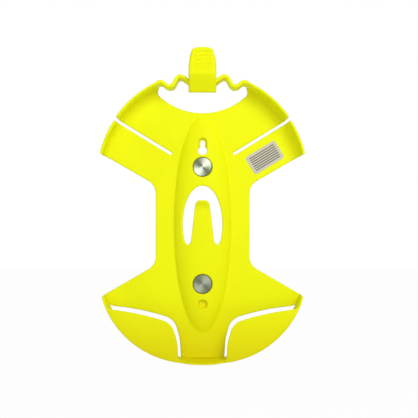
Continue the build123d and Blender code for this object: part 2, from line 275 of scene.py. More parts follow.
mergeReach = 0.004 * millimetre  # points closer than this become one
shortest = 0.002 * millimetre  # faces narrower than this are dissolved


# A new object in the scene.
def newObject(name, data):
    made = bpy.data.objects.new(name, data)
    bpy.context.scene.collection.objects.link(made)
    return made


# Joins shells into one object, smooth but for edges that turn by more than the crisp angle.
def makePiece(name, shells, material, crisp=48):
    verts, faces, total = [], [], 0
    for points, sides in shells:
        verts.append(points)
        faces += [[corner + total for corner in side] for side in sides]
        total += len(points)
    mesh = bpy.data.meshes.new(name)
    mesh.from_pydata((np.vstack(verts) * millimetre).tolist(), [], faces)
    work = bmesh.new()
    work.from_mesh(mesh)
    bmesh.ops.remove_doubles(work, verts=work.verts, dist=mergeReach)
    bmesh.ops.dissolve_degenerate(work, edges=work.edges, dist=shortest)
    work.to_mesh(mesh)
    work.free()
    mesh.polygons.foreach_set("use_smooth", [True] * len(mesh.polygons))
    mesh.set_sharp_from_angle(angle=radians(crisp))
    mesh.update()
    mesh.materials.append(material)
    print(f"{name}: {len(mesh.polygons)} faces")
    return newObject(name, mesh)


# One socket of a node tree, with the arithmetic that joins it to numbers and other sockets.
class Value:
    def __init__(self, tree, socket):
        self.tree, self.socket = tree, socket

    def fn(self, operation, other=0.0, flip=False):
        pair = (other, self) if flip else (self, other)
        return node(self.tree, "ShaderNodeMath", {"operation": operation}, pair)

    def __add__(self, other): return self.fn("ADD", other)
    def __radd__(self, other): return self.fn("ADD", other, True)
    def __sub__(self, other): return self.fn("SUBTRACT", other)
    def __rsub__(self, other): return self.fn("SUBTRACT", other, True)
    def __mul__(self, other): return self.fn("MULTIPLY", other)
    def __rmul__(self, other): return self.fn("MULTIPLY", other, True)
    def __truediv__(self, other): return self.fn("DIVIDE", other)


# Any node: its settings first, then the values or links of its inputs, and one output.
def node(tree, kind, settings=None, inputs=(), output=0):
    made = tree.nodes.new(kind)
    for key, setting in (settings or {}).items():
        setattr(made, key, setting)
    pairs = inputs.items() if isinstance(inputs, dict) else enumerate(inputs)
    for key, given in pairs:
        if isinstance(given, Value):
            tree.links.new(given.socket, made.inputs[key])
        else:
            made.inputs[key].default_value = given
    return Value(tree, made.outputs[output])


# sRGB numbers from 0 to 255 as the shader's linear colour: a short straight start, and then
# the 2.4th power of the number plus 0.055, over 1.055.
def colour(red, green, blue):
    parts = np.array([red, green, blue]) / 255
    linear = np.where(parts <= 0.04045, parts / 12.92, ((parts + 0.055) / 1.055) ** 2.4)
    return (*linear.tolist(), 1.0)


# An empty material, its node tree and its one shader.
def newMaterial(name):
    material = bpy.data.materials.new(name)
    material.use_nodes = True
    tree = material.node_tree
    return material, tree, tree.nodes["Principled BSDF"]


# Links a value to one of a shader's inputs.
def linkTo(shader, name, value):
    value.tree.links.new(value.socket, shader.inputs[name])


# First colour times one minus the factor, plus second colour times the factor.
def mixed(factor, first, second):
    inputs = {0: factor, 6: first, 7: second}
    return node(factor.tree, "ShaderNodeMix", {"data_type": "RGBA"}, inputs, 2)


# The piece's own coordinates, in metres.
def ownPlace(tree):
    return node(tree, "ShaderNodeTexCoord", output="Object")


# The x and z of a place.
def acrossAndUp(place):
    split = node(place.tree, "ShaderNodeSeparateXYZ", {}, [place]).socket.node
    return Value(place.tree, split.outputs["X"]), Value(place.tree, split.outputs["Z"])


# Cloudy noise from 0 to 1, with so many clouds to the metre.
def clouds(place, scale, detail):
    inputs = {"Vector": place, "Scale": scale, "Detail": detail}
    return node(place.tree, "ShaderNodeTexNoise", {}, inputs)


# A value's share of the way from low to high, held at both ends, times a top.
def share(value, low, high, top=1.0):
    return node(value.tree, "ShaderNodeMapRange", {}, [value, low, high, 0.0, top])


# Links a finish's colour, its roughness and its relief, which stands so many metres high.
def linkFinish(shader, tone, roughness, height, strength, distance):
    linkTo(shader, "Base Color", tone)
    linkTo(shader, "Roughness", roughness)
    inputs = {"Strength": strength, "Distance": distance, "Height": height}
    linkTo(shader, "Normal", node(height.tree, "ShaderNodeBump", {}, inputs))


# One for rays straight from the camera, a mirror or glass, and zero for the others.
def lookedAt(tree):
    kinds = ("Is Camera Ray", "Is Glossy Ray", "Is Transmission Ray")
    camera, glossy, clear = (node(tree, "ShaderNodeLightPath", output=kind) for kind in kinds)
    return camera.fn("MAXIMUM", glossy).fn("MAXIMUM", clear)


mouldingLook = {
    "body": (244, 249, 8),
    "pale": (248, 252, 14),
    "deep": (239, 239, 6),
    # painted shade: a warmer, darker tone for crevices
    "creviceShade": (234, 214, 4),
    # painted shade: a warmer, darker tone for the lower part near the bottom rim
    "low": (226, 213, 4),
    "lowShadeStart": -0.135,  # heights between which the painted shade of the lower part comes in
    "lowEnd": -0.188,
    "flowScale": 18.0,
    "handledScale": 55.0,
    "grainScale": 2600.0,
    "creviceReach": 0.014,
    "roughness": 0.58,
    "shine": 0.1,
    "grain": 0.02,
}


# Fluorescent moulding: broad pale and deep flow clouds, painted shade that is warmer and darker
# in crevices by one minus the openness and towards the bottom rim by height, a fine eroded grain
# and duller handled patches.
def mouldingFinish():
    look = mouldingLook
    material, tree, shader = newMaterial("fluorescent_moulding")
    place = ownPlace(tree)
    flow = clouds(place, look["flowScale"], 3.0)
    grain = clouds(place, look["grainScale"], 2.0)
    handled = clouds(place, look["handledScale"], 4.0)
    tone = mixed(share(flow, 0.42, 0.68) * 0.5, colour(*look["body"]), colour(*look["pale"]))
    tone = mixed(share(flow, 0.48, 0.30) * 0.35, tone, colour(*look["deep"]))
    reach = {"Distance": look["creviceReach"]}
    openness = node(tree, "ShaderNodeAmbientOcclusion", {"samples": 12}, reach, "AO")
    # painted shade in crevices: warmer and darker by one minus the openness
    tone = mixed((1.0 - openness) * 0.7, tone, colour(*look["creviceShade"]))
    # painted shade, darker and warmer towards the bottom
    lower = share(acrossAndUp(place)[1], look["lowShadeStart"], look["lowEnd"], 0.75)
    tone = mixed(lower, tone, colour(*look["low"]))
    shader.inputs["Specular IOR Level"].default_value = look["shine"]
    roughness = look["roughness"] + (handled - 0.5) * 0.16 + (grain - 0.5) * 0.06
    linkFinish(shader, tone, roughness, grain, 0.35, look["grain"] * millimetre)
    return material


print("materials: moulding")
moulding = mouldingFinish()

# Rigid moulding: plate, wing walls and boss.
plate = {
    "front": 3.2,
    "wall": 2.8,
    "edgeRound": 1.25,
    "topCentre": (0, -11.0),
    "topRadius": 106.5,
    "wingBend": 2.0,
    "wingDepth": 25.0,
    "wingsAbove": 30,  # the wing walls stand above this height
    "wingLead": 8.0,
    "wingRound": 4.2,
    "cornerTurn": 4.0,  # degrees of the arc that a wing wall's rounded corner may use
    "waistHalf": 48.6,
    "waistTop": -18.3,
    "waistBottom": -100.9,
    "waistRound": 15.5,
    "armEdgeSlope": 0.5763,
    "window": ((0, 122.7), 66.3, -48, -90),  # centre, radius and angles of an arc
    "lobe": ((40.8, 77.6), 5.5, 42, -47.8),
    "railStart": 64.6,
    "slotRoot": (33.0, 14.4),
    "slotTilt": 31.4,
    "slotWidth": 2.8,
    "slotLength": 60.9,
    "armRoot": 5.5,
    "hingeLength": 36.28,
    "hidden": 1.05,  # how deep the plate's edge is buried in the rim's wall
    "cornerHidden": 11.4,  # length of that buried edge at each corner of the rim
    "bottomHalf": 22.45,
    "bottomRise": 1.4,
    "bottomSag": 0.4,
}
boss = {
    "centre": -59.0,
    "half": (29.5, 17.0, 111.0),  # half width, height and half length
    "fillet": 3.2,
    "archCentre": -58.7,
    "archHalf": (21.1, 39.5),
    "archStart": -25.6,
    "archFoot": ((15.3, -76.7), 2.7, -176, -8),
    "hookRoot": (12.5, -78.9),
    "under": 1.1,  # pocket walls stop this far under the boss's front
    "socketRadius": 10.2,
    "sockets": (0.0, -119.6),
    "socketWall": 2.3,
    "socketBack": 8.2,
    "webRadii": (12.4, 8.05),
    "webFront": 11.2,
    "webWall": 2.8,
    "pocketWall": 2.6,
    "pocketBack": 5.2,
    "floorRound": 0.3,
    "keyEntry": 16.8,
    "keyEntryRadius": 4.75,
    "keyTop": 25.4,
    "keyHeadRadius": 4.5,
    "keySlotRadius": 2.25,
    "keyFloor": 7.4,
    "keyFloorWall": 2.0,
    "keyFloorRadius": 5.0,
    "keyFloorFoot": 4.7,
    "keyFloorRise": (4.0, 2.0),  # how far above the entry the floor's inner and outer ends are
    "dimple": -140.9,
    "dimpleRadius": 4.9,
    "dimpleFloor": 7.6,
    "dimpleFloorWall": 2.1,
    "dimpleFloorRadius": 7.2,
}
rim = {
    "floor": -199.8,
    "radius": 170.8,
    "sideRadius": 93.9,
    "join": 27.0,
    "corner": 73.5,
    "back": 0.4,
    "wall": 2.1,
    "edgeRound": 1.0,
    "top": 25.0,
    "cornerTop": 21.5,
    "rollStart": 21.6,
    "rollReach": 40.0,
    "rollRise": 3.9,
    "rollLength": 40.4,  # a quarter of the flaps' elliptic roll, measured along it
    "fade": 12.0,
    "edge": [(110, -142.0), (66, -146.0), (29.5, -157.0), (23.4, -178), (22.4, -210)],
    "edgeRounds": [250, 17, 60],
    "flapShift": (1.4, -0.4),
    "flapInset": 2.7,
    "flapLow": -196.5,
    "split": 24.3,  # arc length from the middle to the flaps
    "easeSpan": 12.0,  # over this length before the split the top comes down,
    "stepSpan": 3.8,  # over this one the edge steps up to the flap,
    "stepEnd": 0.6,  # and both are done this far before it
    "edgeGap": 0.8,
    "cornerEase": 6.0,
    "cornerLift": 0.6,
    "cornerFoot": 8.0,
    "cornerRounds": (4.0, 1.2),
}
clearTurn = 0.2  # degrees between a rounded corner and the run after it
topCentre = np.array(plate["topCentre"])
slotAlong = np.array([cos(radians(plate["slotTilt"])), sin(radians(plate["slotTilt"]))])
slotAcross = np.array([-slotAlong[1], slotAlong[0]])
joinTilt = asin(rim["join"] / rim["radius"])
rimCentre = np.array([0, rim["floor"] + rim["radius"]])
sideOffset = rim["radius"] - rim["sideRadius"]
sideCentre = rimCentre + sideOffset * np.array([sin(joinTilt), -cos(joinTilt)])


# Height of the boss: its height times the root of one minus the squared plan distance,
# where the plan distance is 1 on the boss's foot.
def domeDepth(plan):
    wide, high, tall = boss["half"]
    reach = (plan[:, 0] / wide) ** 2 + ((plan[:, 1] - boss["centre"]) / tall) ** 2
    return high * np.sign(1 - reach) * np.sqrt(np.abs(1 - reach))


# Plan points past a start radius roll up to the front: the radius grows by the sine of
# the turn, the depth by one minus its cosine, and what is left over runs straight up.
def rolledUp(plan, start, bend, where):
    offset = plan - topCentre
    reach = np.hypot(offset[:, 0], offset[:, 1])
    past = np.where(where, np.maximum(reach - start, 0), 0)
    turn = np.minimum(past / bend, pi / 2)
    straight = np.maximum(past - bend * pi / 2, 0)
    radius = np.where(past > 0, start + bend * np.sin(turn), reach)
    rolled = topCentre + offset * (radius / np.maximum(reach, 1e-6))[:, None]
    return rolled, plate["front"] + bend * (1 - np.cos(turn)) + straight


# The plate, its wing walls, and a smooth maximum of plate and boss: half their sum plus half
# the root of their squared gap plus the squared fillet.
def holderFront(plan):
    wings = plan[:, 1] > plate["wingsAbove"]
    rolled, depth = rolledUp(plan, wingStart, plate["wingBend"], wings)
    gap = depth - domeDepth(plan)
    return placed(rolled, depth + 0.5 * (np.sqrt(gap**2 + boss["fillet"] ** 2) - gap))


# Undoes the roll for points that should land where they are given: the turn is the arcsine
# of the reach past the start over the bend, and the radius grows by the bend times it.
def unrolled(points, start, bend):
    offset = points - topCentre
    reach = np.hypot(offset[:, 0], offset[:, 1])
    turn = np.arcsin(np.clip((reach - start) / bend, 0, 1))
    radius = np.where(reach > start, start + bend * turn, reach)
    return topCentre + offset * (radius / reach)[:, None]


# Radius times (cos, sin) of an angle in degrees, about the centre of the top arc.
def polar(radius, angle):
    angle = np.radians(angle)
    return topCentre + np.stack([radius * np.cos(angle), radius * np.sin(angle)], axis=-1)


# The angle in degrees of a point about the centre of the top arc.
def bearing(point):
    return degrees(atan2(point[1] - topCentre[1], point[0]))


# A point of the slot's own frame: along it from its blind end, and across it.
def inSlot(along, across):
    return np.array(plate["slotRoot"]) + along * slotAlong + across * slotAcross


# Plan points and outward directions on the rim, at arc lengths from its lowest point. The
# turn is the length over the radius of the middle arc or, past the join, of the side arc.
def rimPoint(length):
    size = np.abs(length)
    past = size - rim["radius"] * joinTilt
    turn = np.where(past < 0, size / rim["radius"], joinTilt + past / rim["sideRadius"])
    outward = np.stack([np.sin(turn), -np.cos(turn)], axis=1)
    middle = rimCentre + rim["radius"] * outward
    point = np.where((past < 0)[:, None], middle, sideCentre + rim["sideRadius"] * outward)
    flip = np.where(length < 0, -1, 1)[:, None] * (1, 0) + (0, 1)
    return point * flip, outward * flip


rimLength = rim["radius"] * joinTilt + rim["sideRadius"] * (radians(rim["corner"]) - joinTilt)
half = plate["slotWidth"] / 2
buriedFloor = rim["floor"] + plate["hidden"]
plateEdge = softPath(rim["edge"], rim["edgeRounds"])
sidePoint, sideOut = rimPoint(np.linspace(rimLength, rimLength - plate["cornerHidden"], 12))
sideLine = sidePoint - plate["hidden"] * sideOut
plateEdge = plateEdge[(plateEdge[:, 0] < sideLine[-1, 0]) & (plateEdge[:, 1] > buriedFloor)]
bottomEnd = (plate["bottomHalf"], buriedFloor + plate["bottomRise"])
hingeFoot = inSlot(plate["armRoot"], -plate["hingeLength"])
hingeTop = inSlot(plate["armRoot"], -half)
waistX = plate["waistHalf"]
waistLine = [sideLine[0], (waistX, plate["waistBottom"]), (waistX, plate["waistTop"]), hingeFoot]
waist = softPath(waistLine, 2 * [plate["waistRound"]])
wingStart = plate["topRadius"] - plate["wall"] - plate["wingBend"]
wingRise = plate["wingDepth"] - plate["front"] - plate["wingBend"]
wingTop = wingStart + plate["wingBend"] * pi / 2 + wingRise
slotEnd = unrolled([inSlot(plate["slotLength"], half)], wingStart, plate["wingBend"])[0]
slotAngle = bearing(slotEnd)
wingLead, turnEnd = wingTop - plate["wingLead"], slotAngle + plate["cornerTurn"]
wingLine = [polar(wingLead, slotAngle), polar(wingTop, slotAngle), polar(wingTop, turnEnd)]
wingCorner = softPath(wingLine, [plate["wingRound"]])
wingEdge = np.linspace(turnEnd + clearTurn, plate["railStart"], 40)
lobe = arc(*plate["lobe"])
holderHalf = np.vstack([
    [(0, bottomEnd[1] - plate["bottomSag"]), bottomEnd],
    plateEdge[::-1],
    sideLine[::-1],
    waist[1:],
    [hingeTop],
    arc(plate["slotRoot"], half, plate["slotTilt"] - 90, plate["slotTilt"] - 270),
    np.linspace(inSlot(0, half), slotEnd, 40),
    wingCorner,
    polar(np.full(40, wingTop), wingEdge),
    lobe,
    arc(*plate["window"]),
])


# The arch round the hook: an ellipse over the top and a round-ended foot at each side.
def archLoop():
    angle = np.radians(np.linspace(boss["archStart"], 90, 90))
    wide, tall = boss["archHalf"]
    upper = np.stack([wide * np.cos(angle), boss["archCentre"] + tall * np.sin(angle)], axis=1)
    return bothSides(np.vstack([[boss["hookRoot"]], arc(*boss["archFoot"]), upper]))


# Pocket for a screw's head: a round entry and a narrower round-ended slot above, which leaves
# the entry at the arccosine of their radii's ratio.
def keyLoop():
    entry, head = boss["keyEntryRadius"], boss["keyHeadRadius"]
    lower = arc((0, boss["keyEntry"]), entry, -90, degrees(acos(head / entry)))
    return bothSides(np.vstack([lower, arc((0, boss["keyTop"]), head, 0, 90)]))


# The pocket's horseshoe floor: an arc round the screw's slot and a wider one round that.
def keyFloorLoop():
    entry, top, radius = boss["keyEntry"], boss["keyTop"], boss["keySlotRadius"]
    innerRise, outerRise = boss["keyFloorRise"]
    return bothSides(np.vstack([
        arc((0, top), radius, 90, 0),
        [(radius, entry + innerRise), (boss["keyFloorFoot"], entry + outerRise)],
        arc((0, top), boss["keyFloorRadius"], 0, 90),
    ]))


# Points of a flat grid, of ellipses that crowd together where the boss is steep, and of arcs
# that crowd together in the wing walls' bend.
def holderInner():
    grid = everyPair(np.arange(-104, 105, 5.0) + 0.3, np.arange(-198, 95, 5.0))
    wide, high, tall = boss["half"]
    foot = np.hypot(grid[:, 0] / (wide + 4), (grid[:, 1] - boss["centre"]) / (tall + 4))
    reach = np.hypot(grid[:, 0], grid[:, 1] - topCentre[1])
    onWing = (reach > wingStart - 2) & (grid[:, 1] > plate["wingsAbove"])
    points = [grid[(foot > 1) & ~onWing]]
    flank = np.sin(np.radians(np.arange(2.0, 88, 2.2)))
    sizes = np.concatenate([flank, [0.9995, 1.004, 1.011, 1.022, 1.04, 1.065, 1.1]])
    for number, size in enumerate(sizes):
        count = max(8, int(size * 480 / 1.7))
        angle = (np.arange(count) + 0.5 * (number % 2)) * 2 * pi / count
        ring = [wide * size * np.cos(angle), boss["centre"] + tall * size * np.sin(angle)]
        points.append(np.stack(ring, axis=1))
    bend = np.arange(wingStart - 1, wingStart + 5, 0.45)
    radii = np.concatenate([bend, np.arange(wingStart + 6, wingTop, 3.5)])
    wing = polar(*everyPair(radii, np.arange(30, 68, 0.9)).T)
    return np.vstack(points + [wing, wing * mirrorX])


# Depth just under the boss's front, where the pocket walls stop.
def underBoss(plan):
    return -holderFront(plan)[:, 1] - boss["under"]


# The wall of a pocket or socket, from under the boss's front to its back end.
def pocketWall(loop, back, wall):
    return ringWall(loop, [(0.0, underBoss), (0.0, back), (wall, back), (wall, underBoss)])


# A flat floor or web of even thickness.
def floorWall(loops, depth, wall):
    return mouldedWall(loops, flatFront(depth), wall, noPoints, boss["floorRound"])


print("rigid moulding")
keyHead = keyLoop()
dimple = circle((0, boss["dimple"]), boss["dimpleRadius"])
sockets = [circle((0, z), boss["socketRadius"]) for z in boss["sockets"]]
hookRoot = boss["hookRoot"]
railSeam = (polar(wingTop, plate["railStart"]), lobe[0])
seams = np.array([railSeam, (hingeFoot, hingeTop)])
hookSeam = (hookRoot * mirrorX, hookRoot)
seams = [*seams, *(seams * mirrorX), hookSeam]
holderLoops = [bothSides(holderHalf), archLoop(), keyHead, dimple] + sockets
holderParts = (holderLoops, holderFront, plate["wall"], holderInner(), plate["edgeRound"], seams)
shells = [mouldedWall(*holderParts)]
for z, socket in zip(boss["sockets"], sockets):
    shells.append(pocketWall(socket, boss["socketBack"], boss["socketWall"]))
    web = [circle((0, z), radius) for radius in boss["webRadii"]]
    shells.append(floorWall(web, boss["webFront"], boss["webWall"]))
dimpleFloor = circle((0, boss["dimple"]), boss["dimpleFloorRadius"])
for name, opening, floor in (("key", keyHead, keyFloorLoop()), ("dimple", dimple, dimpleFloor)):
    shells.append(pocketWall(opening, boss["pocketBack"], boss["pocketWall"]))
    shells.append(floorWall([floor], boss[name + "Floor"], boss[name + "FloorWall"]))
holderShell = makePiece("holder_shell", shells, moulding)
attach(holderShell, "holder")
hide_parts("back_plate", "magnet_boss", "left_wing_rail", "right_wing_rail")


# Peak rim: upright wall, rolled flaps and the corners beside their slots. Its section stays
# straight up to its top in the middle, and only to the roll's start at the flaps.
def straightRun(length):
    size, done = np.abs(length), rim["split"] - rim["stepEnd"]
    eased = stepUp(size, rim["split"] - rim["easeSpan"], done)
    flaps = stepUp(size, rim["split"] - rim["stepSpan"], done)
    return rim["rollStart"] - rim["back"] + (1 - eased) * (rim["top"] - rim["rollStart"]), flaps


# Rolled section: straight up to the roll, then in by the reach times one minus the cosine
# and forward by the rise times the sine. Towards the corners the inward part fades out.
def rimFront(domain):
    length, run = domain[:, 0], domain[:, 1]
    point, outward = rimPoint(length)
    straight = straightRun(length)[0]
    turn = np.maximum(run - straight, 0) / rim["rollLength"] * pi / 2
    inward = stepUp(rimLength - np.abs(length), 0.0, rim["fade"]) * (1 - np.cos(turn))
    depth = rim["back"] + np.minimum(run, straight) + rim["rollRise"] * np.sin(turn)
    return placed(point - rim["rollReach"] * inward[:, None] * outward, depth)


# Rim length and run up the section for plan points of the right flap: the turns about the
# two rim centres times their radii, and the arccosine of the way in.
def onFlap(plan):
    toMiddle, toSide = plan - rimCentre, plan - sideCentre
    middleTurn = np.arctan2(toMiddle[:, 0], -toMiddle[:, 1])
    sideTurn = np.arctan2(toSide[:, 0], -toSide[:, 1])
    sideLength = joinTilt * rim["radius"] + (sideTurn - joinTilt) * rim["sideRadius"]
    middleIn = rim["radius"] - np.hypot(*toMiddle.T)
    sideIn = rim["sideRadius"] - np.hypot(*toSide.T)
    length = np.where(middleTurn < joinTilt, middleTurn * rim["radius"], sideLength)
    inward = np.where(middleTurn < joinTilt, middleIn, sideIn)
    turn = np.arccos(np.clip(1 - inward / rim["rollReach"], -1, 1))
    run = rim["rollStart"] - rim["back"] + turn / (pi / 2) * rim["rollLength"]
    return np.stack([length, run], axis=1), inward


flapPath = softPath(rim["edge"], rim["edgeRounds"]) + rim["flapShift"]
flapPath = readAt(flapPath, np.arange(0, alongPath(flapPath)[-1], step))
flapEdge, flapInward = onFlap(flapPath)
flapEdge = flapEdge[(flapInward > rim["flapInset"]) & (flapPath[:, 1] > rim["flapLow"])]
middleLength = np.linspace(rim["split"] - rim["edgeGap"], 0, 18)
straight, flaps = straightRun(middleLength)
flapStep = flapEdge[-1, 1] - straightRun(rim["split"])[0]
cornerRun = rim["cornerTop"] - rim["back"]
cornerEnd = (rimLength - rim["cornerEase"], cornerRun + rim["cornerLift"])
cornerLine = [(rimLength, rim["cornerFoot"]), (rimLength, cornerRun), cornerEnd]
rimHalf = np.vstack([
    [(0, 0), (rimLength, 0)],
    softPath(cornerLine, rim["cornerRounds"][:1]),
    softPath([cornerEnd, flapEdge[0], flapEdge[2]], rim["cornerRounds"][1:]),
    flapEdge[3:],
    np.stack([middleLength, straight + flaps * flapStep], axis=1),
])
print("peak rim")
rimInner = everyPair(np.arange(-132, rimLength, 2.0), np.arange(1, 60, 1.5))
shells = [mouldedWall([bothSides(rimHalf)], rimFront, rim["wall"], rimInner, rim["edgeRound"])]
peakRim = makePiece("peak_rim", shells, moulding)
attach(peakRim, "holder")
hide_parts("peak_pocket")

# Side arms.
arm = {
    "roll": 11.0,
    "top": 22.0,
    "highRound": 4.0,
    "lowRound": 1.0,
    "edgeRound": 1.3,
    "slotLength": 61.5,
    "edgeEnd": 102.0,
    "cornerTurn": 3.0,  # degrees of the arc that each rounded corner may use
}
armBend = arm["roll"] - plate["wall"]
armStart = plate["topRadius"] - arm["roll"]
armReach = armStart + armBend * pi / 2 + arm["top"] - plate["front"] - armBend


# The flat blade and its end, rolled up past the arm's start radius.
def armFront(plan):
    return placed(*rolledUp(plan, armStart, armBend, np.ones(len(plan), bool)))


# The arm laid flat: its slot edge and lower edge unrolled, and its upturned end on one arc.
def armLoop():
    slotLine = np.linspace(hingeTop, inSlot(arm["slotLength"], -half), 50)
    rise = plate["armEdgeSlope"] * (arm["edgeEnd"] - plate["waistHalf"])
    edgeLine = np.linspace(hingeFoot, (arm["edgeEnd"], plate["waistTop"] + rise), 50)
    upper = unrolled(slotLine, armStart, armBend)
    lower = unrolled(edgeLine, armStart, armBend)
    high, low, turn = bearing(upper[-1]), bearing(lower[-1]), arm["cornerTurn"]
    lowLine = [lower[-1], polar(armReach, low), polar(armReach, low + turn)]
    highLine = [polar(armReach, high - turn), polar(armReach, high), upper[-1]]
    far = np.linspace(low + turn + clearTurn, high - turn - clearTurn, 20)
    return np.vstack([
        lower[:-1],
        softPath(lowLine, [arm["lowRound"]]),
        polar(np.full(20, armReach), far),
        softPath(highLine, [arm["highRound"]]),
        upper[::-1][1:],
    ])


print("side arms")
armPlan = armLoop()
blade = everyPair(np.arange(36, 84, 4.0), np.arange(-16, 62, 4.0))
upturn = everyPair(np.arange(armStart - 2, armReach, 1.0), np.arange(0, 44, 1.1))
armInner = np.vstack([blade, polar(*upturn.T)])
for side, label in ((-1, "left"), (1, "right")):
    flip = np.array([side, 1])
    seam = [(armPlan[0] * flip, armPlan[-1] * flip)]
    armParts = ([armPlan * flip], armFront, plate["wall"], armInner * flip, arm["edgeRound"], seam)
    piece = makePiece(f"{label}_arm_blade", [mouldedWall(*armParts)], moulding)
    start = inSlot(plate["armRoot"], 0) * flip * millimetre
    end = inSlot(plate["armRoot"] + 4, 0) * flip * millimetre
    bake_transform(piece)
    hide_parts(f"{label}_side_arm")

# Accessory hook.
hook = {
    "tip": -35.4,
    "tipHalf": 7.2,
    "round": 5.6,
    "curlStart": -47.0,
    "curl": 5.6,
    "wall": 2.6,
    "edgeRound": 1.0,
}


# The boss's own surface, lifted towards the tip by the curl times a power of the way along.
def hookFront(plan):
    way = np.clip((plan[:, 1] - hook["curlStart"]) / (hook["tip"] - hook["curlStart"]), 0, 1)
    return placed(plan, domeDepth(plan) + hook["curl"] * way**2.4)


print("accessory hook")
hookTip = [(hook["tipHalf"], hook["tip"]), (0, hook["tip"])]
hookLoop = bothSides(softPath([hookRoot, *hookTip], [hook["round"]]))
hookInner = everyPair(np.arange(-12, 13, 1.6), np.arange(hookRoot[1] + 1, hook["tip"], 1.4))
hookParts = ([hookLoop], hookFront, hook["wall"], hookInner, hook["edgeRound"], [hookSeam])
hookPiece = makePiece("hook_tongue", [mouldedWall(*hookParts)], moulding)
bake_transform(hookPiece)
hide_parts("accessory_hook")

# Wave springs.
spring = {
    "path": [(45.6, 83.8), (41.5, 85.7), (31.6, 77.6), (23.7, 93.2), (13.0, 84.9)],
    "rounds": [4, 5, 5],
    "width": 3.5,
    "back": 4.5,
    "front": 25.0,
    "round": 0.9,
    "sections": 90,
}


# An upright rounded rectangle carried along the wavy path and closed at both ends.
def springShell(side):
    path = softPath(spring["path"], spring["rounds"])
    spots = np.linspace(0, alongPath(path)[-1], spring["sections"])
    path = readAt(path, spots) * (side, 1)
    across = squareTo(np.gradient(path, axis=0))
    wide, radius = spring["width"] / 2 - spring["round"], spring["round"]
    low, high = spring["back"] + radius, spring["front"] - radius
    corners = [(wide, high, 0), (-wide, high, 90), (-wide, low, 180), (wide, low, 270)]
    section = np.vstack([arc((x, depth), radius, turn, turn + 90) for x, depth, turn in corners])
    plan = path[:, None, :] + across[:, None, :] * section[None, :, :1]
    depth = np.broadcast_to(section[None, :, 1], plan.shape[:2])
    verts = np.stack([plan[..., 0], -depth, plan[..., 1]], axis=-1)
    rows, ways = verts.shape[:2]
    caps = [list(range(ways)), [(rows - 1) * ways + i for i in range(ways)][::-1]]
    return verts.reshape(-1, 3), gridFaces(rows, ways).tolist() + caps


print("wave springs")
for side, label in ((-1, "left"), (1, "right")):
    piece = makePiece(f"{label}_spring_wave", [outwardFaces(springShell(side))], moulding)
    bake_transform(piece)
    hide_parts(f"{label}_wave_spring")

# Thumb latch.
latch = {
    "wall": 2.8,
    "edgeRound": 0.7,
    "bottom": 74.2,
    "top": 119.3,
    "half": 14.0,
    "topHalf": 10.2,
    "narrowStart": 98.0,
    "narrowSpan": 21.4,
    "bottomRound": 0.7,
    "topRound": 1.9,
    "edgeDepth": 24.5,
    "crestDepth": 36.0,
    "crestLift": 0.6,  # how much higher the two surfaces would meet without their soft crest
    "crestSoft": 2.4,
    "crest": 91.7,
    "tabDepth": 27.5,
    "shoulder": 3.2,
    "crown": 1.7,
    "crownFlank": 2.2,
    "panelHalf": 8.8,
    "panelBottom": 94.0,
    "panelTop": 116.2,
    "panelDepth": 1.0,
    "panelEdge": 0.8,
    "ribPitch": 4.05,
    "ribHeight": 0.9,
    "back": ((74.2, 86, 95.5, 119.5), (21.5, 21.5, 24.6, 24.6)),  # heights, and depths there
    "shelf": ((13.8, 84.5), (13.8, 87.5)),
    "shelfFront": 24.0,
    "shelfDepth": 19.5,
    "shelfRound": 0.5,
}


# Half width: the full one less the narrowing times a power of the way up the tab.
def latchHalfWidth(z):
    way = np.clip((z - latch["narrowStart"]) / latch["narrowSpan"], 0, 1)
    return latch["half"] - (latch["half"] - latch["topHalf"]) * way**1.7


# A smooth minimum of the ramp below the crest and the curved tab above it, turned down at
# the shoulders, with a sunk panel whose ribs are parted by the cube of a raised cosine.
def latchFront(plan):
    x, z = plan[:, 0], plan[:, 1]
    bottom, top, crest = latch["bottom"], latch["top"], latch["crest"]
    peak = latch["crestDepth"] + latch["crestLift"]
    slope = (peak - latch["edgeDepth"]) / (crest - bottom)
    ramp = latch["edgeDepth"] + (z - bottom) * slope
    way = np.clip((top - z) / (top - crest), 0, 2)
    tab = latch["tabDepth"] + (peak - latch["tabDepth"]) * way**2
    depth = 0.5 * (ramp + tab - np.sqrt((ramp - tab) ** 2 + latch["crestSoft"] ** 2))
    shoulder = latch["shoulder"]
    over = np.clip((np.abs(x) - latchHalfWidth(z) + shoulder) / shoulder, 0, 0.995)
    depth = depth - shoulder * 0.8 * (1 - np.sqrt(1 - over**2))
    low, high, edge = latch["panelBottom"], latch["panelTop"], latch["panelEdge"]
    panel = 1 - stepUp(np.abs(x), latch["panelHalf"] - edge, latch["panelHalf"])
    panel = panel * stepUp(z, low, low + 2 * edge) * (1 - stepUp(z, high - edge, high))
    wave = 1 - (0.5 + 0.5 * np.cos(2 * pi * (z - low) / latch["ribPitch"])) ** 3
    return placed(plan, depth - panel * (latch["panelDepth"] - latch["ribHeight"] * wave))


# The back: straight between its four heights.
def latchBack(plan):
    return placed(plan, np.interp(plan[:, 1], *latch["back"]))


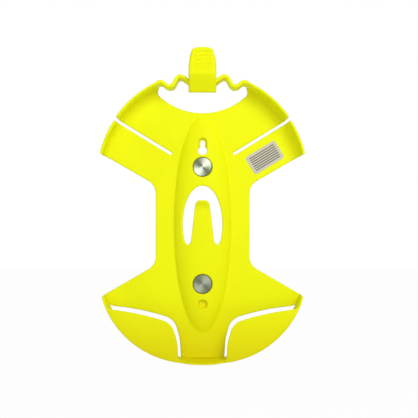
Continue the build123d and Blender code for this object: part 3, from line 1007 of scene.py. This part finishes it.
print("thumb latch")
sideZ = np.linspace(latch["bottom"], latch["top"], 40)
latchSide = np.stack([latchHalfWidth(sideZ), sideZ], axis=1)
lowLine = [(0, latch["bottom"]), latchSide[0], latchSide[3]]
shoulderTop = np.array([latch["topHalf"], latch["top"] - latch["crown"]])
crownX = np.linspace(latch["topHalf"] - latch["crownFlank"], 0, 12)
crownZ = latch["top"] - latch["crown"] * (crownX / latch["topHalf"]) ** 2  # a parabola
crown = np.stack([crownX, crownZ], axis=1)
latchHalf = np.vstack([
    softPath(lowLine, [latch["bottomRound"]]),
    latchSide[4:-6],
    softPath([latchSide[-6], shoulderTop, crown[0]], [latch["topRound"]]),
    crown[1:],
])
flanks = np.arange(-14, -7.2, 0.45), np.arange(7.4, 14.1, 0.45)
latchX = np.concatenate([flanks[0], np.arange(-7, 7.1, 1.4), flanks[1]])
latchInner = everyPair(latchX, np.arange(74.8, 119.4, 0.45))
latchParts = (latchFront, latch["wall"], latchInner, latch["edgeRound"], (), latchBack)
shells = [mouldedWall([bothSides(latchHalf)], *latchParts)]
shelfParts = (flatFront(latch["shelfFront"]), latch["shelfDepth"], noPoints, latch["shelfRound"])
shells.append(mouldedWall([bothSides(np.array(latch["shelf"]))], *shelfParts))
latchPiece = makePiece("latch_tab", shells, moulding)
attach(latchPiece, "latch")
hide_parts("thumb_latch")

# Magnet cups: turned steel heads with a spun face.
cup = {
    "head": 9.8,
    "headBack": 11.2,
    "headFront": 13.2,
    "headRound": 0.4,
    "stem": 8.0,
    "bore": 6.5,
    "boreDepth": 7.0,
    "bevel": 0.5,
    "face": 0.02,  # the spun face lies this far back
    "groove": 0.012,
    "grooveTurn": 9.0,  # radians of groove to the millimetre
}


# Bore, bevelled stem and head, and a face whose depth is a small cosine of the radius.
def cupSection():
    head, back, front, edge = cup["head"], cup["headBack"], cup["headFront"], cup["headRound"]
    stem, bore, deep, bevel = cup["stem"], cup["bore"], cup["boreDepth"], cup["bevel"]
    mouth = [(0.0, deep), (bore, deep), (bore, bevel), (bore + bevel, 0.0)]
    shank = [(stem - bevel, 0.0), (stem, bevel), (stem, back)]
    side = [(head - 0.2, back), (head, back + 0.2), (head, front - edge)]
    corner = [(head - 0.12, front - 0.12), (head - edge, front)]
    radii = np.linspace(head - 0.55, 0.25, 60)
    spun = front - cup["face"] - cup["groove"] * np.cos(cup["grooveTurn"] * radii)
    centre = [(0.0, front - cup["face"])]
    return mouth + shank + side + corner + [*zip(radii, spun)] + centre


steelLook = {
    # light and dark are the tones of the painted highlight and the painted dark reflection
    "light": (220, 228, 206),
    "dark": (88, 94, 72),
    "roughness": 0.3,
    "blotchScale": 160.0,
    "ringTurn": 21000.0,  # radians of ring to the metre
    "shadeStart": 8.9,  # radii between which painted shade darkens the head's edge
    "shadeEnd": 9.5,
}


# Turned steel: fine rings about each head's own axis, and two opposite pairs of painted highlight
# and painted dark reflection sectors, which are a cosine of twice the angle round the axis, with
# painted shade at the edge.
def steelFinish(name, centreZ, glintWeight, glintLift):
    look = steelLook
    material, tree, shader = newMaterial(name)
    centring = {"Vector": ownPlace(tree), "Location": (0, 0, -centreZ * millimetre)}
    place = node(tree, "ShaderNodeMapping", {}, centring)
    x, z = acrossAndUp(place)
    reach = (x * x + z * z).fn("SQRT")
    blotch = clouds(place, look["blotchScale"], 2.0)
    # painted highlight and dark reflection sectors, a cosine of twice the angle round the axis
    turn = z.fn("ARCTAN2", x) * 2.0 - 1.57 + (blotch - 0.5) * 1.6
    glintSector = turn.fn("COSINE") * 0.5 + 0.5
    ring = (reach * look["ringTurn"] + blotch * 4.0).fn("SINE")
    # painted shade round the head's edge, for the shadowed gap in its socket
    shade = share(reach * 1000.0, look["shadeStart"], look["shadeEnd"], 0.5)
    tone = (glintSector * glintWeight + ring * 0.05 + glintLift - shade).fn("MAXIMUM", 0.0).fn("MINIMUM", 1.0)
    tone = mixed(tone, colour(*look["dark"]), colour(*look["light"]))
    shader.inputs["Metallic"].default_value = 1.0
    linkFinish(shader, tone, look["roughness"] + (blotch - 0.5) * 0.2, ring, 0.3, 0.00002)
    return material


print("magnet assemblies")
# each head gets its own strength and brightness lift of painted glint
for place, z, glintWeight, glintLift in (("upper", 0.0, 0.68, 0.03), ("lower", -119.6, 0.35, 0.07)):
    steel = steelFinish(f"{place}_turned_steel_painted_glint", z, glintWeight, glintLift)
    turned = outwardFaces(turnedPart(cupSection(), (0, z)))
    piece = makePiece(f"{place}_cup_turned", [turned], steel, 35)
    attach(piece, "holder")
    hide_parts(f"{place}_magnet_cup")

# Light tone, dark tone, roughness and scale of each hidden metal.
metalLooks = {
    "bright_plating": ((205, 205, 200), (150, 150, 146), 0.28, 900.0),
    "spun_brass": ((222, 190, 110), (170, 136, 66), 0.35, 700.0),
    "blued_spring_steel": ((96, 98, 104), (52, 54, 60), 0.42, 800.0),
}


# Plain worked metal: a brushed noise between two tones, and small pits.
def metalFinish(name):
    light, dark, roughness, scale = metalLooks[name]
    material, tree, shader = newMaterial(name)
    place = ownPlace(tree)
    brushed = clouds(place, scale, 5.0)
    pits = node(tree, "ShaderNodeTexVoronoi", {}, {"Vector": place, "Scale": scale * 1.7})
    tone = mixed(brushed, colour(*dark), colour(*light))
    shader.inputs["Metallic"].default_value = 1.0
    roughness = roughness + (brushed - 0.5) * 0.25
    linkFinish(shader, tone, roughness, pits + brushed, 0.25, 0.00003)
    return material


# Gives a CAD node its material.
def finishNode(name, material):
    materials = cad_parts[name].data.materials
    materials.clear()
    materials.append(material)


print("hidden metals")
plating, brass, springSteel = (metalFinish(name) for name in metalLooks)
for place in ("upper", "lower"):
    finishNode(f"{place}_magnet", plating)
    finishNode(f"{place}_magnet_spacer", brass)
    finishNode(f"{place}_retaining_ring", springSteel)

paperLook = {
    "paper": (206, 201, 178),
    "fibre": (194, 189, 168),
    "line": (84, 76, 84),
    "centre": (64.3, 10.3),
    "ruledHalf": (14.8, 8.2),
    "pitch": 2.3,
    "width": 1.1,
    "strength": 0.92,
    "roughness": 0.55,
}


# Write-on label: off-white paper with faint fibres and thin ruled lines. A point is on a line
# when it is within half a line's width of the middle of its row.
def paperFinish():
    look = paperLook
    material, tree, shader = newMaterial("ruled_paper")
    place = ownPlace(tree)
    x, z = acrossAndUp(place)
    tilt = radians(plate["slotTilt"])
    centreX, centreZ = (size * millimetre for size in look["centre"])
    long, high = (size * millimetre for size in look["ruledHalf"])
    along = (x - centreX) * cos(tilt) + (z - centreZ) * sin(tilt)
    across = (z - centreZ) * cos(tilt) - (x - centreX) * sin(tilt)
    row = across / (look["pitch"] * millimetre) + 0.5
    inRow = (row - row.fn("FLOOR") - 0.5).fn("ABSOLUTE") * look["pitch"]
    ruled = inRow.fn("LESS_THAN", look["width"] / 2) * look["strength"]
    ruled = ruled * along.fn("ABSOLUTE").fn("LESS_THAN", long)
    ruled = ruled * across.fn("ABSOLUTE").fn("LESS_THAN", high)
    fibre = clouds(place, 1500.0, 4.0)
    tone = mixed(fibre * 0.35, colour(*look["paper"]), colour(*look["fibre"]))
    tone = mixed(ruled, tone, colour(*look["line"]))
    linkFinish(shader, tone, look["roughness"] + (fibre - 0.5) * 0.2, fibre, 0.2, 0.00002)
    return material


print("label")
finishNode("name_label", paperFinish())

# Floor, light and camera, in metres.
studio = {
    "floorSize": 4.0,
    "floorDrop": 0.46,
    "floorTone": (0.9, 0.9, 0.9, 1),
    "floorGlow": 0.97,
    "ambient": 0.43,
    "target": (0, 0, -0.04),
    "key": ((0.46, -1.25, 0.68), 0.9, 10.3),  # place, size and power
    "fill": ((-0.35, -1.5, 0.3), 1.2, 2.6),
    "cameraPlace": (0.0066, -0.7, -0.043),
    "viewHalf": 0.21736,  # half the width that is seen at the wall
}


# A level square, a size from its middle to each side.
def stagePlane(name, size, height):
    mesh = bpy.data.meshes.new(name)
    corners = [(-size, -size), (size, -size), (size, size), (-size, size)]
    mesh.from_pydata([(x, y, height) for x, y in corners], [], [(0, 1, 2, 3)])
    return newObject(name, mesh)


# White where it is looked at, with a share of its real shading kept.
def paleFloor():
    material, tree, shader = newMaterial("pale_floor")
    shader.inputs["Base Color"].default_value = studio["floorTone"]
    shader.inputs["Roughness"].default_value = 0.7
    glow = node(tree, "ShaderNodeEmission", {}, {"Color": (1, 1, 1, 1), "Strength": 1.0})
    inputs = [lookedAt(tree) * studio["floorGlow"], Value(tree, shader.outputs[0]), glow]
    both = node(tree, "ShaderNodeMixShader", {}, inputs)
    linkTo(tree.nodes["Material Output"], "Surface", both)
    return material


print("studio")
floor = stagePlane("pale_floor", studio["floorSize"], -studio["floorDrop"])
floor.data.materials.append(paleFloor())

world = bpy.data.worlds.new("studio_air")
bpy.context.scene.world = world
world.use_nodes = True
background = world.node_tree.nodes["Background"]
background.inputs["Color"].default_value = (1, 1, 1, 1)
strength = studio["ambient"] + lookedAt(world.node_tree) * (1.0 - studio["ambient"])
linkTo(background, "Strength", strength)


# A round lamp turned to the target: tipped by the arctangent of level distance over drop.
def softLamp(name, place, size, power):
    data = bpy.data.lights.new(name, "AREA")
    data.shape, data.size, data.energy = "DISK", size, power
    lamp = newObject(name, data)
    lamp.location = place
    aim = np.array(studio["target"]) - np.array(place)
    lamp.rotation_euler = (atan2(hypot(aim[0], aim[1]), -aim[2]), 0, atan2(aim[0], -aim[1]) + pi)


for lamp in ("key", "fill"):
    softLamp(lamp, *studio[lamp])

lens = bpy.data.cameras.new("camera")
lens.sensor_fit = "HORIZONTAL"
lens.angle = 2 * atan(studio["viewHalf"] / -studio["cameraPlace"][1])
lens.clip_start = 0.01
camera = newObject("camera", lens)
camera.location = studio["cameraPlace"]
camera.rotation_euler = (pi / 2, 0, 0)
bpy.context.scene.camera = camera
bpy.context.scene.view_settings.view_transform = "Standard"
